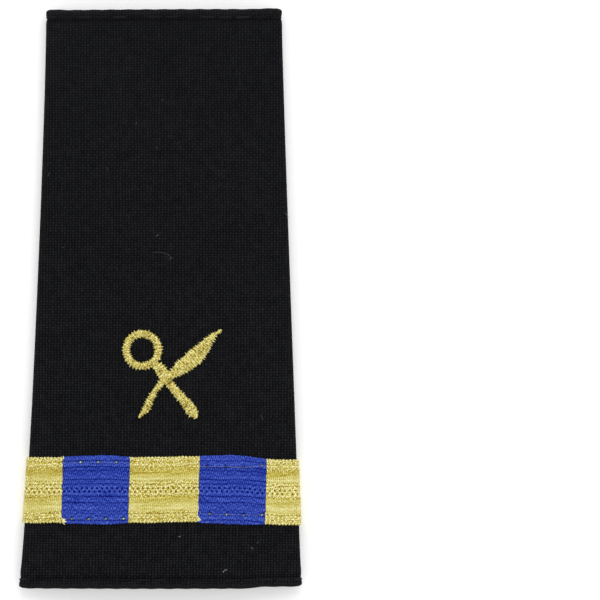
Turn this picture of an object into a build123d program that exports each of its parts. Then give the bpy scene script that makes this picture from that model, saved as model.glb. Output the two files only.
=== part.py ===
from build123d import *
import os
from math import asin, cos, radians, sin

# Rank slide: a flared cloth tube for a shoulder strap, lying on its back, with woven lace and embroidery.
# X is across, +Y points to the narrow mouth and +Z is up through the front.
# The origin is under the middle of the tube, on the surface that it rests on. Millimetres and degrees.

# Cloth tube
slide_length = 111.5
wide_mouth = 54.3  # folded width at the mouth beside the lace
narrow_mouth = 45.2
mouth_height = 7.0  # from the resting face to the top of the front
cloth = 1.0
fold_bore = 0.4  # radius inside a side fold
fold_lift = 1.4  # clear height under a side fold
rest_share = 0.4  # part of the half width that lies flat
narrow_shift = 0.7  # the narrow mouth stands this far to the right of the wide one
lip_round = 0.3

# Woven lace
lace_height = 12.7
lace_thickness = 0.55
lace_setback = 12.5  # from the wide mouth to the lace
lace_shift = 0.75  # the middle of the pattern, to the right of the middle of the wide mouth
gold_share = 0.247  # the middle length of gold, as a share of the wide mouth
break_share = 0.236  # each blue break, as the same share
break_swell = 0.3  # a blue break stands this far past the gold at each edge
seam_slant = 0.35  # the upper end of a colour seam stands this far to the right of its lower end
lace_drop = 0.45  # the right end is sewn this much lower
lace_turn = 5.0  # how far each end runs in under its fold

# Embroidery: a magnifying glass crossed by a quill. Reaches are from the crossing, angles from the Y axis.
crossing_height = 40.3  # from the wide mouth
crossing_shift = 1.2
thread_height = 0.62
rim_diameter = 7.8
rim_band = 1.6
rim_reach = 7.2
rim_angle = 39.4
neck_width = 2.0
handle_width = 1.75
handle_end_width = 2.45
handle_reach = 8.4
handle_angle = 36.5
feather_width = 3.4
feather_reach = 14.2
feather_angle = 47.4
stem_width = 1.4
stem_reach = 9.0
stem_angle = 35.3
nib_share = 0.2  # the part of the stem that narrows to its point

# Clearances
sewn_gap = 0.05  # between the cloth and what is sewn on it
seam_gap = 0.06  # between neighbouring lengths of lace and strokes of thread

# Worked out from the sizes above
fold_radius = fold_bore + cloth
fold_height = fold_lift + fold_radius
lace_low = lace_setback - slide_length / 2
lace_high = lace_low + lace_height
crossing = Vector(crossing_shift, crossing_height - slide_length / 2, fold_height)
lap_level = sewn_gap + thread_height / 2  # where the quill's stem passes over the handle
above_all = 2 * mouth_height
beside_all = wide_mouth

# One row for each section of the tube, from the wide mouth to the narrow one
stations = [
    {"along": 0.0, "narrowing": 0.0, "drift": 0.0, "crown": 1.0},
    {"along": 0.25, "narrowing": 0.34, "drift": 0.69, "crown": 0.97},
    {"along": 0.5, "narrowing": 0.60, "drift": 0.95, "crown": 0.95},
    {"along": 0.75, "narrowing": 0.83, "drift": 1.05, "crown": 0.97},
    {"along": 1.0, "narrowing": 1.0, "drift": 1.0, "crown": 1.0},
]

# Half the feather's outline, from its root to its tip, as shares of its reach and width
feather = [
    {"along": 0.09, "width": 0.44},
    {"along": 0.40, "width": 1.0},
    {"along": 0.62, "width": 0.80},
    {"along": 1.0, "width": 0.12},
]

# The five lengths of lace, each from its left seam to its right one, from the middle of the pattern.
# Its drops are shares of the lace's drop at the two seams.
gold_edge = gold_share * wide_mouth / 2
blue_edge = gold_edge + break_share * wide_mouth
lengths = [
    {"name": "lace_gold_left", "left": -beside_all, "right": -blue_edge, "drops": (0, 0), "swell": 0},
    {"name": "lace_blue_left", "left": -blue_edge, "right": -gold_edge, "drops": (0, 0), "swell": 1},
    {"name": "lace_gold_middle", "left": -gold_edge, "right": gold_edge, "drops": (0, 0), "swell": 0},
    {"name": "lace_blue_right", "left": gold_edge, "right": blue_edge, "drops": (0, 1), "swell": 1},
    {"name": "lace_gold_right", "left": blue_edge, "right": beside_all, "drops": (1, 1), "swell": 0},
]


def arc_radius(reach, rise):
    # The arc that starts level and climbs by rise over reach, where it runs into the round of a side fold
    return (reach**2 + rise**2 - fold_radius**2) / (2 * (rise - fold_radius))


def polar(radius, angle):
    # A point on a circle, at this angle from straight down
    return Vector(radius * sin(angle), -radius * cos(angle))


def half_width(station):
    return (wide_mouth - station["narrowing"] * (wide_mouth - narrow_mouth)) / 2


def section(station, proud):
    # The closed outline of the tube at one station, grown by proud on all sides
    half = half_width(station)
    top = mouth_height * station["crown"]
    flat = rest_share * half
    fold_x = half - fold_radius
    front_radius = arc_radius(fold_x, top - fold_height)
    under_radius = arc_radius(fold_x - flat, fold_height)
    front_angle = asin(fold_x / (front_radius - fold_radius))
    under_angle = asin((fold_x - flat) / (under_radius - fold_radius))
    grown = fold_radius + proud
    fold_middle = Vector(fold_x, fold_height)
    under_middle = Vector(flat, under_radius)
    right = [
        Vector(flat, -proud),
        under_middle + polar(under_radius + proud, under_angle / 2),
        fold_middle + polar(grown, under_angle),
        fold_middle + Vector(grown, 0),
        fold_middle + polar(grown, radians(180) - front_angle),
    ]
    left = [Vector(-point.X, point.Y) for point in right]
    where = Vector(narrow_shift * station["drift"], slide_length * (station["along"] - 0.5))
    with BuildSketch(Plane(origin=where, x_dir=(1, 0, 0), z_dir=(0, -1, 0))) as outline:
        with BuildLine():
            Line(left[0], right[0])
            ThreePointArc(right[0], right[1], right[2])
            ThreePointArc(right[2], right[3], right[4])
            ThreePointArc(right[4], Vector(0, top + proud), left[4])
            ThreePointArc(left[4], left[3], left[2])
            ThreePointArc(left[2], left[1], left[0])
        make_face()
    return outline.sketch


def sections(proud):
    return [section(station, proud) for station in stations]


def station_at(height):
    # The row of the table for any place along Y, worked out between its neighbours
    along = height / slide_length + 0.5
    pairs = list(zip(stations, stations[1:]))
    low, high = next((pair for pair in pairs if along <= pair[1]["along"]), pairs[-1])
    share = (along - low["along"]) / (high["along"] - low["along"])
    return {key: low[key] + share * (high[key] - low[key]) for key in low}


def stroke_plane(turn):
    # A plane at the crossing whose own +Y runs along a stroke, turned anticlockwise from the row's +Y
    across = (cos(radians(turn)), sin(radians(turn)), 0)
    return Plane(origin=crossing, x_dir=across, z_dir=(0, 0, 1))


def tapered(turn, width, reach, end_width, grow):
    # A stroke's outline from the crossing to a round end, grown by grow on all sides
    with BuildSketch(stroke_plane(turn)) as outline:
        Circle(width / 2 + grow)
        with Locations((0, reach)):
            Circle(end_width / 2 + grow)
        make_hull()
    return outline.sketch


def neck_outline(grow):
    return tapered(rim_angle, handle_width, rim_reach - rim_diameter / 2, neck_width, grow)


def grip_outline(grow):
    return tapered(180 + handle_angle, handle_width, handle_reach, handle_end_width, grow)


def stem_outline(grow):
    # A straight band past both sides of the handle, narrowed to a point at the nib
    edge = stem_width / 2 + grow
    shoulder = stem_reach * (1 - nib_share)
    with BuildSketch(stroke_plane(180 - stem_angle)) as outline:
        with BuildLine():
            Polyline(
                (-edge, -feather_reach / 2),
                (edge, -feather_reach / 2),
                (edge, shoulder),
                (0, stem_reach + grow),
                (-edge, shoulder),
                close=True,
            )
        make_face()
    return outline.sketch


def long_edge(start, end, swell):
    # An upper or lower edge of the lace, straight on the gold and bowed on the blue
    if swell:
        ThreePointArc(start, (start + end) / 2 + Vector(0, swell), end)
    else:
        Line(start, end)


def keep(piece, name):
    piece.part.label = name
    export_step(piece.part, f"parts/{name}.step")


os.makedirs("parts", exist_ok=True)

# Sleeve: one cloth tube, open at both mouths, with softened lips
with BuildPart() as sleeve:
    loft(sections(0), ruled=True)
    loft(sections(-cloth), ruled=True, mode=Mode.SUBTRACT)
    mouths = sleeve.faces().group_by(Axis.Y)
    fillet(mouths[0].edges() + mouths[-1].edges(), radius=lip_round)
keep(sleeve, "sleeve")

# The layer round the tube that the lace is cut from
with BuildPart() as lace_layer:
    loft(sections(sewn_gap + lace_thickness), ruled=True)
    loft(sections(sewn_gap), ruled=True, mode=Mode.SUBTRACT)

# How far from its middle the turned ends stop on the back
lace_station = station_at((lace_low + lace_high) / 2)
turn_edge = half_width(lace_station) - lace_turn
turn_middle = narrow_shift * lace_station["drift"]

for row in lengths:
    left = lace_shift + row["left"] + seam_gap / 2
    right = lace_shift + row["right"] - seam_gap / 2
    left_drop, right_drop = (Vector(0, -lace_drop * drop) for drop in row["drops"])
    slant = Vector(seam_slant / 2, 0)
    low_left = Vector(left, lace_low) - slant + left_drop
    low_right = Vector(right, lace_low) - slant + right_drop
    high_left = Vector(left, lace_high) + slant + left_drop
    high_right = Vector(right, lace_high) + slant + right_drop
    with BuildPart() as length:
        add(lace_layer.part)
        with BuildSketch(Plane.XY.offset(-above_all)):
            with BuildLine():
                long_edge(low_left, low_right, -break_swell * row["swell"])
                Line(low_right, high_right)
                long_edge(high_right, high_left, break_swell * row["swell"])
                Line(high_left, low_left)
            make_face()
        extrude(amount=2 * above_all, mode=Mode.INTERSECT)
        # On the back only the turned ends are left
        with BuildSketch(Plane.XY.offset(fold_height)):
            with Locations((turn_middle, 0)):
                Rectangle(2 * turn_edge, slide_length)
        extrude(amount=-above_all, mode=Mode.SUBTRACT)
    keep(length, row["name"])

# The layer on the front that the embroidered strokes are cut from
with BuildPart() as thread_layer:
    loft(sections(sewn_gap + thread_height), ruled=True)
    loft(sections(sewn_gap), ruled=True, mode=Mode.SUBTRACT)

# The magnifying glass: a round rim, and a handle that starts at the rim
with BuildSketch(stroke_plane(rim_angle)) as rim_clearance:
    with Locations((0, rim_reach)):
        Circle(rim_diameter / 2 + seam_gap)

with BuildPart() as glass_rim:
    add(thread_layer.part)
    with BuildSketch(stroke_plane(rim_angle)):
        with Locations((0, rim_reach)):
            Circle(rim_diameter / 2)
            Circle(rim_diameter / 2 - rim_band, mode=Mode.SUBTRACT)
    extrude(amount=above_all, mode=Mode.INTERSECT)
keep(glass_rim, "glass_rim")

# What the stem takes from the handle: its own band, down to the level of the lap
with BuildPart() as stem_over:
    extrude(stem_outline(seam_gap), amount=above_all)
    loft(sections(lap_level - seam_gap / 2), ruled=True, mode=Mode.SUBTRACT)

with BuildPart() as glass_handle:
    extrude(neck_outline(0), amount=above_all)
    extrude(grip_outline(0), amount=above_all)
    extrude(rim_clearance.sketch, amount=above_all, mode=Mode.SUBTRACT)
    add(thread_layer.part, mode=Mode.INTERSECT)
    add(stem_over.part, mode=Mode.SUBTRACT)
keep(glass_handle, "glass_handle")

# The quill: a leaf-shaped feather, and a stem that starts at the feather's root and ends in the nib
feather_edge = [
    Vector(feather_width / 2 * place["width"], feather_reach * place["along"]) for place in feather
]
other_edge = [Vector(-point.X, point.Y) for point in feather_edge]
with BuildPart() as quill_feather:
    add(thread_layer.part)
    with BuildSketch(stroke_plane(-feather_angle)):
        with BuildLine():
            for root, belly, shoulder, tip in (feather_edge, other_edge):
                ThreePointArc(root, belly, shoulder)
                Line(shoulder, tip)
            Line(feather_edge[0], other_edge[0])
            Line(feather_edge[-1], other_edge[-1])
        make_face()
    extrude(amount=above_all, mode=Mode.INTERSECT)
keep(quill_feather, "quill_feather")

# What the handle takes from the stem: its own column, up to the level of the lap
with BuildPart() as handle_under:
    extrude(neck_outline(seam_gap), amount=above_all)
    extrude(grip_outline(seam_gap), amount=above_all)
    loft(sections(lap_level + seam_gap / 2), ruled=True, mode=Mode.INTERSECT)

with BuildPart() as quill_stem:
    extrude(stem_outline(0), amount=above_all)
    with BuildSketch(stroke_plane(-feather_angle)):
        with Locations((0, feather_edge[0].Y - seam_gap)):
            Rectangle(2 * feather_reach, 2 * feather_reach, align=(Align.CENTER, Align.MIN))
    extrude(amount=above_all, mode=Mode.SUBTRACT)
    add(thread_layer.part, mode=Mode.INTERSECT)
    add(handle_under.part, mode=Mode.SUBTRACT)
keep(quill_stem, "quill_stem")
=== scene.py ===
import bpy
import numpy as np
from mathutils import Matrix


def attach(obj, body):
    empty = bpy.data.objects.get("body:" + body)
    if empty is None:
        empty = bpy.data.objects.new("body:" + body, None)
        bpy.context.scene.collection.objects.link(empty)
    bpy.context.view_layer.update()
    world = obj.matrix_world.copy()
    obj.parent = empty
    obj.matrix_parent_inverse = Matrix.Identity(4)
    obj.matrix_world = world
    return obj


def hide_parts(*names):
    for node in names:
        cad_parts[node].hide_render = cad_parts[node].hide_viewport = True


# A cloth rank slide lying on its back: the sleeve with its hems, the woven lace with two blue breaks,
# and the embroidered magnifying glass and quill. Shapes are worked out in millimetres:
# X across, Y to the narrow mouth, Z up through the front.

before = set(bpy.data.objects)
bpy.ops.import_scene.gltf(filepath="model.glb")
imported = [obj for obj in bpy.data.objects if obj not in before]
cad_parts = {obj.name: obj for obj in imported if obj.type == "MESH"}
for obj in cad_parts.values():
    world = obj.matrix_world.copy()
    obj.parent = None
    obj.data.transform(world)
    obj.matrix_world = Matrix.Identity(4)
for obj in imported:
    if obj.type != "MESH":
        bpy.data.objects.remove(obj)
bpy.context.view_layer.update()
mm = 0.001
threadStep = 7.3  # keeps the noise of neighbouring threads apart

tube = {
    "length": 111.5,
    "wideMouth": 54.3,
    "narrowMouth": 45.2,
    "mouthHeight": 7.0,
    "wall": 1.0,
    "foldRadius": 1.4,
    "foldHeight": 2.8,
    "restShare": 0.4,
    "nap": 0.07,  # by which the nap of the cloth widens each side
    "narrowShift": 0.7,
    "cornerRound": 0.65,
    # One column for each section, from the wide mouth to the narrow one
    "along": [0.0, 0.25, 0.5, 0.75, 1.0],
    "narrowing": [0.0, 0.34, 0.60, 0.83, 1.0],
    "drift": [0.0, 0.69, 0.95, 1.05, 1.0],
    "crown": [1.0, 0.97, 0.95, 0.97, 1.0],
}


def unevenness(u, v, size, seed):
    # Smooth noise from -1 to 1: random heights on a square lattice of this size, blended with an eased step
    table = np.random.default_rng(seed).uniform(-1, 1, (64, 64))
    x, y = u / size, v / size
    i, j = np.floor(x).astype(int), np.floor(y).astype(int)
    p, q = x - i, y - j
    p, q = p * p * (3 - 2 * p), q * q * (3 - 2 * q)
    low = table[i % 64, j % 64] * (1 - p) + table[(i + 1) % 64, j % 64] * p
    high = table[i % 64, (j + 1) % 64] * (1 - p) + table[(i + 1) % 64, (j + 1) % 64] * p
    return low * (1 - q) + high * q


def wander(u, v, form):
    # Smooth noise of this amount, size and seed
    amount, size, seed = form
    return amount * unevenness(u, v, size, seed)


def eased(value, start, end):
    # A step from 0 at start to 1 at end, level at both
    share = np.clip((value - start) / (end - start), 0, 1)
    return share * share * (3 - 2 * share)


def bump(value, middle, width):
    # A bell of height 1 round the middle
    return np.exp(-(((value - middle) / width) ** 2))


def turned(x, y, along, side, turn):
    # The place this far along a heading, and this far to the left of it, from x and y
    forward, upward = np.cos(turn), np.sin(turn)
    return x + along * forward - side * upward, y + along * upward + side * forward


def tubeAt(y):
    # The section of the tube at each Y: a front arc, two fold arcs, two under arcs and a flat rest.
    # An arc that starts level and climbs by rise over reach into a fold has the radius
    # (reach squared + rise squared - fold squared) over twice (rise - fold).
    share = np.clip(y / tube["length"] + 0.5, 0, 1)
    narrowing, drift, crown = (
        np.polyval(np.polyfit(tube["along"], tube[key], 4), share)
        for key in ("narrowing", "drift", "crown")
    )
    half = (tube["wideMouth"] - narrowing * (tube["wideMouth"] - tube["narrowMouth"])) / 2 + tube["nap"]
    inset = np.clip(1 - (tube["length"] / 2 - np.abs(y)) / tube["cornerRound"], 0, 1)
    half = half - tube["cornerRound"] * (1 - np.sqrt(1 - inset**2))
    fold = tube["foldRadius"]
    at = {"half": half, "middle": tube["narrowShift"] * drift, "top": tube["mouthHeight"] * crown}
    at["flat"] = tube["restShare"] * half
    at["foldX"] = half - fold
    rise = at["top"] - tube["foldHeight"]
    at["frontRadius"] = (at["foldX"] ** 2 + rise**2 - fold**2) / (2 * (rise - fold))
    reach = at["foldX"] - at["flat"]
    at["underRadius"] = (reach**2 + tube["foldHeight"] ** 2 - fold**2) / (2 * (tube["foldHeight"] - fold))
    at["frontAngle"] = np.arcsin(at["foldX"] / (at["frontRadius"] - fold))
    at["underAngle"] = np.arcsin(reach / (at["underRadius"] - fold))
    at["runs"] = [
        at["frontRadius"] * at["frontAngle"],
        fold * (np.pi - at["frontAngle"] - at["underAngle"]),
        at["underRadius"] * at["underAngle"],
        at["flat"],
    ]
    return at


def onTube(around, y, proud):
    # A point over the outer face. around is the distance over the cloth from the middle of the front,
    # and proud is the height over the cloth: each arc keeps its middle and angle and grows by proud.
    at = tubeAt(y)
    front, fold, under = at["runs"][:3]
    out = np.abs(around)
    turnFront = out / at["frontRadius"]
    turnFold = at["frontAngle"] + (out - front) / tube["foldRadius"]
    turnUnder = at["underAngle"] - (out - front - fold) / at["underRadius"]
    parts = [out <= front, out <= front + fold, out <= front + fold + under]
    x = np.select(
        parts,
        [
            (at["frontRadius"] + proud) * np.sin(turnFront),
            at["foldX"] + (tube["foldRadius"] + proud) * np.sin(turnFold),
            at["flat"] + (at["underRadius"] + proud) * np.sin(turnUnder),
        ],
        at["flat"] - (out - front - fold - under),
    )
    z = np.select(
        parts,
        [
            at["top"] - at["frontRadius"] + (at["frontRadius"] + proud) * np.cos(turnFront),
            tube["foldHeight"] + (tube["foldRadius"] + proud) * np.cos(turnFold),
            at["underRadius"] - (at["underRadius"] + proud) * np.cos(turnUnder),
        ],
        -proud,
    )
    return np.stack(np.broadcast_arrays(at["middle"] + np.sign(around) * x, y, z), -1)


def aroundAt(x, y):
    # The distance over the front from its middle to a place seen from above
    at = tubeAt(y)
    return at["frontRadius"] * np.arcsin((x - at["middle"]) / at["frontRadius"])


def onFront(x, y, proud):
    # A point over the front, straight above a place seen from above
    at = tubeAt(y)
    radius = at["frontRadius"] + proud
    z = at["top"] - at["frontRadius"] + np.sqrt(radius**2 - (x - at["middle"]) ** 2)
    return np.stack(np.broadcast_arrays(x, y, z), -1)


def gridFaces(rows, columns, closedRows=False, closedColumns=False):
    # The four corners of each cell of a grid of points. A closed side joins its last line of points to its
    # first. Rows and columns are also given counted on past the join, so that a pattern runs on over it.
    row, column = np.meshgrid(
        np.arange(rows - (not closedRows)), np.arange(columns - (not closedColumns)), indexing="ij"
    )
    cornerRow = np.stack([row, row, row + 1, row + 1], -1).reshape(-1, 4)
    cornerColumn = np.stack([column, column + 1, column + 1, column], -1).reshape(-1, 4)
    return (cornerRow % rows) * columns + cornerColumn % columns, cornerRow, cornerColumn


def makeMesh(name, points, groups, places, shade):
    # One mesh at the origin. Each group holds faces with equal counts of corners, places gives the corners
    # of those faces their place on the cloth or thread in mm, and shade gives each point its shade.
    mesh = bpy.data.meshes.new(name)
    corners = np.concatenate([group.ravel() for group in groups])
    counts = np.concatenate([np.full(len(group), group.shape[1]) for group in groups])
    mesh.vertices.add(len(points))
    mesh.vertices.foreach_set("co", (points * mm).astype(np.float32).ravel())
    mesh.loops.add(len(corners))
    mesh.loops.foreach_set("vertex_index", corners.astype(np.int32))
    mesh.polygons.add(len(counts))
    mesh.polygons.foreach_set("loop_start", (np.cumsum(counts) - counts).astype(np.int32))
    mesh.polygons.foreach_set("use_smooth", np.ones(len(counts), bool))
    mesh.update(calc_edges=True)
    corner = mesh.uv_layers.new(name="place").data
    corner.foreach_set("uv", np.concatenate(places).astype(np.float32).ravel())
    point = mesh.attributes.new("shade", "FLOAT", "POINT").data
    point.foreach_set("value", shade.astype(np.float32).ravel())
    mesh.validate()
    made = bpy.data.objects.new(name, mesh)
    bpy.context.scene.collection.objects.link(made)
    return made


def makeThreads(name, layers, sides, upward=(0.0, 0.0, 1.0)):
    # Round threads with closed ends in one mesh. Each layer is the points of its centrelines, the half
    # thickness and the shade there. A ring is the centre plus radius times (cosine of the turn times
    # sideways, plus its sine times up).
    turn = np.linspace(0, 2 * np.pi, sides, endpoint=False)[:, None]
    points, faces, caps, places, shades, made = [], [], [], [], [], 0
    for paths, radii, shade in layers:
        count, rings = paths.shape[:2]
        radii, shade = np.broadcast_to(radii, (count, rings)), np.broadcast_to(shade, (count, rings))
        tangent = np.gradient(paths, axis=1)
        tangent /= np.linalg.norm(tangent, axis=-1, keepdims=True)
        sideways = np.cross(np.broadcast_to(upward, tangent.shape), tangent)
        sideways /= np.linalg.norm(sideways, axis=-1, keepdims=True)
        top = np.cross(tangent, sideways)
        ring = np.cos(turn) * sideways[:, :, None] + np.sin(turn) * top[:, :, None]
        points.append((paths[:, :, None] + radii[..., None, None] * ring).reshape(-1, 3))
        cells, row, column = gridFaces(rings, sides, closedColumns=True)
        first = (made + np.arange(count) * rings * sides)[:, None, None]
        faces.append((first + cells).reshape(-1, 4))
        caps.append(first[:, 0] + np.arange(sides)[::-1])
        caps.append(first[:, 0] + (rings - 1) * sides + np.arange(sides))
        steps = np.linalg.norm(np.diff(paths, axis=1), axis=-1)
        run = np.concatenate([np.zeros((count, 1)), np.cumsum(steps, axis=1)], axis=1)
        run = run + threadStep * np.arange(count)[:, None]
        places.append(np.stack(np.broadcast_arrays(run[:, row], column / sides), -1).reshape(-1, 2))
        shades.append(np.repeat(shade.reshape(-1), sides))
        made += count * rings * sides
    caps = np.concatenate(caps)
    places.append(np.zeros((caps.size, 2)))
    groups = [np.concatenate(faces), caps]
    return makeMesh(name, np.concatenate(points), groups, places, np.concatenate(shades))


def addNode(tree, kind, inputs, **settings):
    # A shader node with these settings. Each input is a number, a colour or another node's output.
    made = tree.nodes.new(kind)
    for key, value in settings.items():
        setattr(made, key, value)
    for key, value in inputs.items():
        if isinstance(value, bpy.types.NodeSocket):
            tree.links.new(value, made.inputs[key])
        else:
            made.inputs[key].default_value = value
    return made


def calculate(tree, operation, first, second=0.0):
    # One step of arithmetic on two values
    return addNode(tree, "ShaderNodeMath", {0: first, 1: second}, operation=operation).outputs[0]


def mixParts(tree, start, *parts):
    # start plus the sum of weight times (value - middle), for parts of (value, middle, weight). A noise and
    # a shade have their middle at 0.5, a wave at 0.
    total = start
    for value, middle, weight in parts:
        offset = calculate(tree, "SUBTRACT", value, middle)
        total = calculate(tree, "ADD", total, calculate(tree, "MULTIPLY", offset, weight))
    return total


def waveOf(tree, operation, value, turns):
    # The sine or cosine of value times turns whole turns
    return calculate(tree, operation, calculate(tree, "MULTIPLY", value, 2 * np.pi * turns))


def makeRamp(tree, value, stops):
    # Colour between stops of (place, colour)
    made = addNode(tree, "ShaderNodeValToRGB", {"Fac": value})
    while len(made.color_ramp.elements) < len(stops):
        made.color_ramp.elements.new(0.5)
    for element, (place, colour) in zip(made.color_ramp.elements, stops):
        element.position = place
        element.color = (*colour, 1.0)
    return made.outputs["Color"]


def startMaterial(name, finish):
    # A new material with these values set on its shader
    made = bpy.data.materials.new(name)
    made.use_nodes = True
    tree = made.node_tree
    shader = tree.nodes["Principled BSDF"]
    for key, value in finish.items():
        shader.inputs[key].default_value = value
    return made, tree, shader


def placeParts(tree):
    # The two coordinates of the place, in millimetres
    place = addNode(tree, "ShaderNodeUVMap", {}, uv_map="place")
    parts = addNode(tree, "ShaderNodeSeparateXYZ", {0: place.outputs[0]})
    return parts.outputs[0], parts.outputs[1]


def shadeOf(tree):
    # The shade that each point of the mesh carries
    return addNode(tree, "ShaderNodeAttribute", {}, attribute_name="shade").outputs["Fac"]


def noiseOn(tree, u, v, scale, detail=2.0):
    # Noise from 0 to 1 at a place, with about this many changes a millimetre
    where = addNode(tree, "ShaderNodeCombineXYZ", {0: u, 1: v}).outputs[0]
    inputs = {"Vector": where, "Scale": scale, "Detail": detail}
    return addNode(tree, "ShaderNodeTexNoise", inputs).outputs["Fac"]


def addBump(tree, shader, look, *parts):
    # Fine relief of this depth in metres, from a mix of parts
    inputs = {"Strength": look["bump"], "Distance": look["depth"], "Height": mixParts(tree, 0.5, *parts)}
    lift = addNode(tree, "ShaderNodeBump", inputs)
    tree.links.new(lift.outputs[0], shader.inputs["Normal"])


def makeCloth(name, look):
    # Plain weave: a cosine across each set of threads, light on the thread and dark beside it. Each thread
    # has a shade of its own that changes along it, and the product of two sines tells where it passes over
    # and where under. Small noise stands for fibres, and broad noise for unevenness of the dye.
    made, tree, shader = startMaterial(name, look["finish"])
    u, v = placeParts(tree)
    shift = (noiseOn(tree, u, v, look["wanderScale"]), 0.5, look["wander"])
    warp = calculate(tree, "DIVIDE", mixParts(tree, u, shift), look["pitchAcross"])
    weft = calculate(tree, "DIVIDE", mixParts(tree, v, shift), look["pitchUp"])
    warpNumber = calculate(tree, "MULTIPLY", calculate(tree, "FLOOR", warp), threadStep)
    weftNumber = calculate(tree, "MULTIPLY", calculate(tree, "FLOOR", weft), threadStep)
    warpShade = noiseOn(tree, warpNumber, calculate(tree, "MULTIPLY", v, look["slub"]), 1.0, 1.0)
    weftShade = noiseOn(tree, calculate(tree, "MULTIPLY", u, look["slub"]), weftNumber, 1.0, 1.0)
    acrossWave = waveOf(tree, "COSINE", calculate(tree, "ADD", warp, 0.5), 1.0)
    upWave = waveOf(tree, "COSINE", calculate(tree, "ADD", weft, 0.5), 1.0)
    over = calculate(tree, "MULTIPLY", waveOf(tree, "SINE", warp, 0.5), waveOf(tree, "SINE", weft, 0.5))
    fibre = noiseOn(tree, u, v, look["fibreScale"], 3.0)
    weave = mixParts(
        tree,
        0.0,
        (warpShade, 0.5, look["threadShade"]),
        (weftShade, 0.5, look["threadShade"]),
        (acrossWave, 0.0, look["ridge"][0]),
        (upWave, 0.0, look["ridge"][1]),
        (over, 0.0, look["over"]),
        (fibre, 0.5, look["fibre"]),
    )
    mixed = mixParts(
        tree,
        0.5,
        (weave, 0.0, mixParts(tree, look["strength"][0], (v, 0.0, look["strength"][1]))),
        (noiseOn(tree, u, v, look["cloudScale"], 3.0), 0.5, look["cloud"]),
        (shadeOf(tree), 0.5, look["shade"]),
    )
    tree.links.new(makeRamp(tree, mixed, look["colours"]), shader.inputs["Base Color"])
    ridgeRise, overRise, fibreRise = look["rises"]
    ridges = [(acrossWave, 0.0, ridgeRise), (upWave, 0.0, ridgeRise), (over, 0.0, overRise)]
    addBump(tree, shader, look, *ridges, (fibre, 0.5, fibreRise))
    return made


def makeYarn(name, look):
    # The shade picks the colour, broken up by flecks of small noise, and a second noise turns the hue a
    # little. The twist is a sine that climbs round the thread.
    made, tree, shader = startMaterial(name, look["finish"])
    u, v = placeParts(tree)
    across = calculate(tree, "MULTIPLY", v, look["fleckAcross"])
    flecks = noiseOn(tree, u, across, look["fleckScale"], 3.0)
    mixed = mixParts(tree, shadeOf(tree), (flecks, 0.5, look["fleck"]))
    tint = noiseOn(tree, calculate(tree, "ADD", u, 31.0), v, look["fleckScale"], 2.0)  # clear of the flecks
    hue = mixParts(tree, 0.5, (tint, 0.5, look["hueSpread"]))
    colour = makeRamp(tree, mixed, look["colours"])
    toned = addNode(tree, "ShaderNodeHueSaturation", {"Hue": hue, "Color": colour})
    tree.links.new(toned.outputs[0], shader.inputs["Base Color"])
    climb = mixParts(tree, 0.0, (u, 0.0, look["twist"][0]), (v, 0.0, look["twist"][1]))
    wave = waveOf(tree, "SINE", climb, 1.0)
    addBump(tree, shader, look, (wave, 0.0, look["twistRise"]), (flecks, 0.5, 1.0))
    return made


def finish(piece, material, slot, *nodes):
    # The finish and the body of a piece, and the nodes of the frame that it dresses. The slot is not used.
    piece.data.materials.append(material)
    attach(piece, "root")
    if nodes:
        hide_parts(*nodes)
    return piece


# Finishes
clothLook = {
    "pitchAcross": 0.573,  # millimetres between threads
    "pitchUp": 0.504,
    "wander": 0.4,  # how far the threads stray, and how often
    "wanderScale": 0.35,
    "slub": 0.5,  # how often the shade of a thread changes along it
    "strength": (1.75, -0.0075),  # contrast at the wide mouth and its change a millimetre up from there
    "threadShade": 0.40,
    "ridge": (0.175, 0.135),
    "over": 0.08,  # light where a thread passes over
    "fibre": 0.50,
    "fibreScale": 3.2,
    "cloud": 0.05,
    "cloudScale": 0.07,
    "shade": 0.7,
    "bump": 0.8,
    "depth": 0.00007,
    "rises": (0.25, 0.2, 0.5),  # shares of the ridges, the crossings and the fibres in the relief
    "colours": [
        (0.1, (0.0008, 0.0008, 0.0012)),
        (0.5, (0.0039, 0.0041, 0.0051)),
        (0.9, (0.0125, 0.0127, 0.0142)),
    ],
    "finish": {"Roughness": 0.9, "Specular IOR Level": 0.09},
}
plainYarn = {
    "fleck": 0.36,
    "fleckScale": 4.0,
    "fleckAcross": 1.0,
    "hueSpread": 0.04,
    "twist": (2.0, 2.0),  # turns a millimetre along and turns round
    "twistRise": 0.25,
    "bump": 0.6,
    "depth": 0.00002,
}
goldLook = {
    **plainYarn,
    "fleckScale": 4.5,
    "hueSpread": 0.14,
    "twist": (0.0, 3.3),
    "colours": [
        (0.0, (0.24, 0.095, 0.004)),
        (0.22, (0.42, 0.335, 0.020)),
        (0.5, (0.60, 0.523, 0.133)),
        (0.75, (0.76, 0.70, 0.29)),
        (1.0, (0.97, 0.92, 0.54)),
    ],
    "finish": {"Roughness": 0.42, "Metallic": 0.6, "Specular IOR Level": 0.35},
}
blueLook = {
    **plainYarn,
    "fleckScale": 5.0,
    "twist": (0.0, 3.3),
    "colours": [
        (0.0, (0.0005, 0.003, 0.115)),
        (0.25, (0.006, 0.018, 0.215)),
        (0.5, (0.024, 0.050, 0.355)),
        (0.75, (0.058, 0.105, 0.50)),
        (1.0, (0.15, 0.22, 0.70)),
    ],
    "finish": {"Roughness": 0.6, "Specular IOR Level": 0.04},
}
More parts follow.
